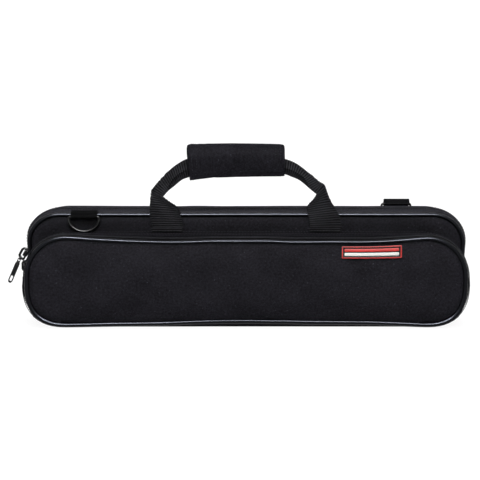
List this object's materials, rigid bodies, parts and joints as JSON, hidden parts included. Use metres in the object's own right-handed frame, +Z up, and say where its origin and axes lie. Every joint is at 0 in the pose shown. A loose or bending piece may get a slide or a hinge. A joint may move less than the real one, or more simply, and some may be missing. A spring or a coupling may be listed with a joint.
{
  "type": "flute case",
  "caption": "Soft zipped flute case with shaped insert, front accessory pocket, webbing carrying handle and strap rings.",
  "frame": {"origin": "middle of the rear half's flat base, on the surface the case stands on", "axes": "+X along the case towards its right end seen from the front, +Y towards the back, +Z up"},
  "size_m": [0.4357, 0.1128, 0.1698],
  "materials": {
    "black_metal": "satin",
    "foam": "matte",
    "nylon": "matte",
    "patch_rubber": "matte",
    "piping": "satin",
    "plush": "matte",
    "stripe_red": "satin",
    "stripe_white": "satin",
    "webbing": "matte",
    "zip_tape": "matte"
  },
  "bodies": {
    "rear_half": {"rear_foam_shell": "foam", "flute_insert": "plush", "rear_panel": "nylon", "rear_gusset": "nylon", "rear_piping": "piping", "rear_main_zip_tape": "zip_tape", "rear_hinge_strip": "nylon", "rear_d_ring_tab": "webbing"},
    "lid": {"lid_foam_shell": "foam", "lid_pad": "plush", "lid_front_panel": "nylon", "lid_gusset": "nylon", "lid_piping": "piping", "lid_main_zip_tape": "zip_tape", "lid_hinge_strip": "nylon", "front_d_ring_tab": "webbing", "handle_tail_left": "webbing", "handle_tail_right": "webbing", "pocket_gusset": "nylon", "pocket_base_strip": "nylon", "pocket_rear_zip_tape": "zip_tape"},
    "pocket_flap": {"pocket_front_panel": "nylon", "pocket_piping": "piping", "pocket_front_zip_tape": "zip_tape", "label_patch": "patch_rubber", "label_stripe_red": "stripe_red", "label_stripe_white": "stripe_white"},
    "handle": {"handle_strap": "webbing", "handle_grip": "webbing"},
    "front_ring": {"front_d_ring": "black_metal"},
    "rear_ring": {"rear_d_ring": "black_metal"},
    "main_slider": {"main_slider": "black_metal"},
    "main_pull": {"main_pull_link": "black_metal", "main_pull_tab": "black_metal"},
    "pocket_slider": {"pocket_slider": "black_metal"},
    "pocket_pull": {"pocket_pull_link": "black_metal", "pocket_pull_tab": "black_metal"}
  },
  "joints": [
    {"name": "lid_hinge", "type": "hinge", "parent": "rear_half", "child": "lid", "pos_m": [0, -0.0165, 0], "axis": [1, 0, 0], "range_deg": [0, 118]},
    {"name": "pocket_flap_hinge", "type": "hinge", "parent": "lid", "child": "pocket_flap", "pos_m": [0, -0.0835, 0.0018], "axis": [1, 0, 0], "range_deg": [0, 80]},
    {"name": "handle_fold", "type": "hinge", "parent": "lid", "child": "handle", "pos_m": [0, -0.0534, 0.09], "axis": [1, 0, 0], "range_deg": [0, 85]},
    {"name": "front_ring_swing", "type": "hinge", "parent": "lid", "child": "front_ring", "pos_m": [-0.1535, -0.0536, 0.1006], "axis": [-1, 0, 0], "range_deg": [0, 165]},
    {"name": "rear_ring_swing", "type": "hinge", "parent": "rear_half", "child": "rear_ring", "pos_m": [0.152, 0.0213, 0.1052], "axis": [1, 0, 0], "range_deg": [0, 165]},
    {"name": "main_zip_slide", "type": "slide", "parent": "rear_half", "child": "main_slider", "axis": [0, 0, 1], "range_m": [-0.01, 0.02]},
    {"name": "main_pull_swing", "type": "hinge", "parent": "main_slider", "child": "main_pull", "pos_m": [-0.21806, -0.0165, 0.04295], "axis": [0, 1, 0], "range_deg": [0, 50]},
    {"name": "pocket_zip_travel", "type": "hinge", "parent": "lid", "child": "pocket_slider", "pos_m": [-0.16862, -0.075, 0.0473], "axis": [0, 1, 0], "range_deg": [-20, 50]},
    {"name": "pocket_pull_swing", "type": "hinge", "parent": "pocket_slider", "child": "pocket_pull", "pos_m": [-0.2105, -0.075, 0.06531], "axis": [0, 1, 0], "range_deg": [-4, 54]}
  ]
}
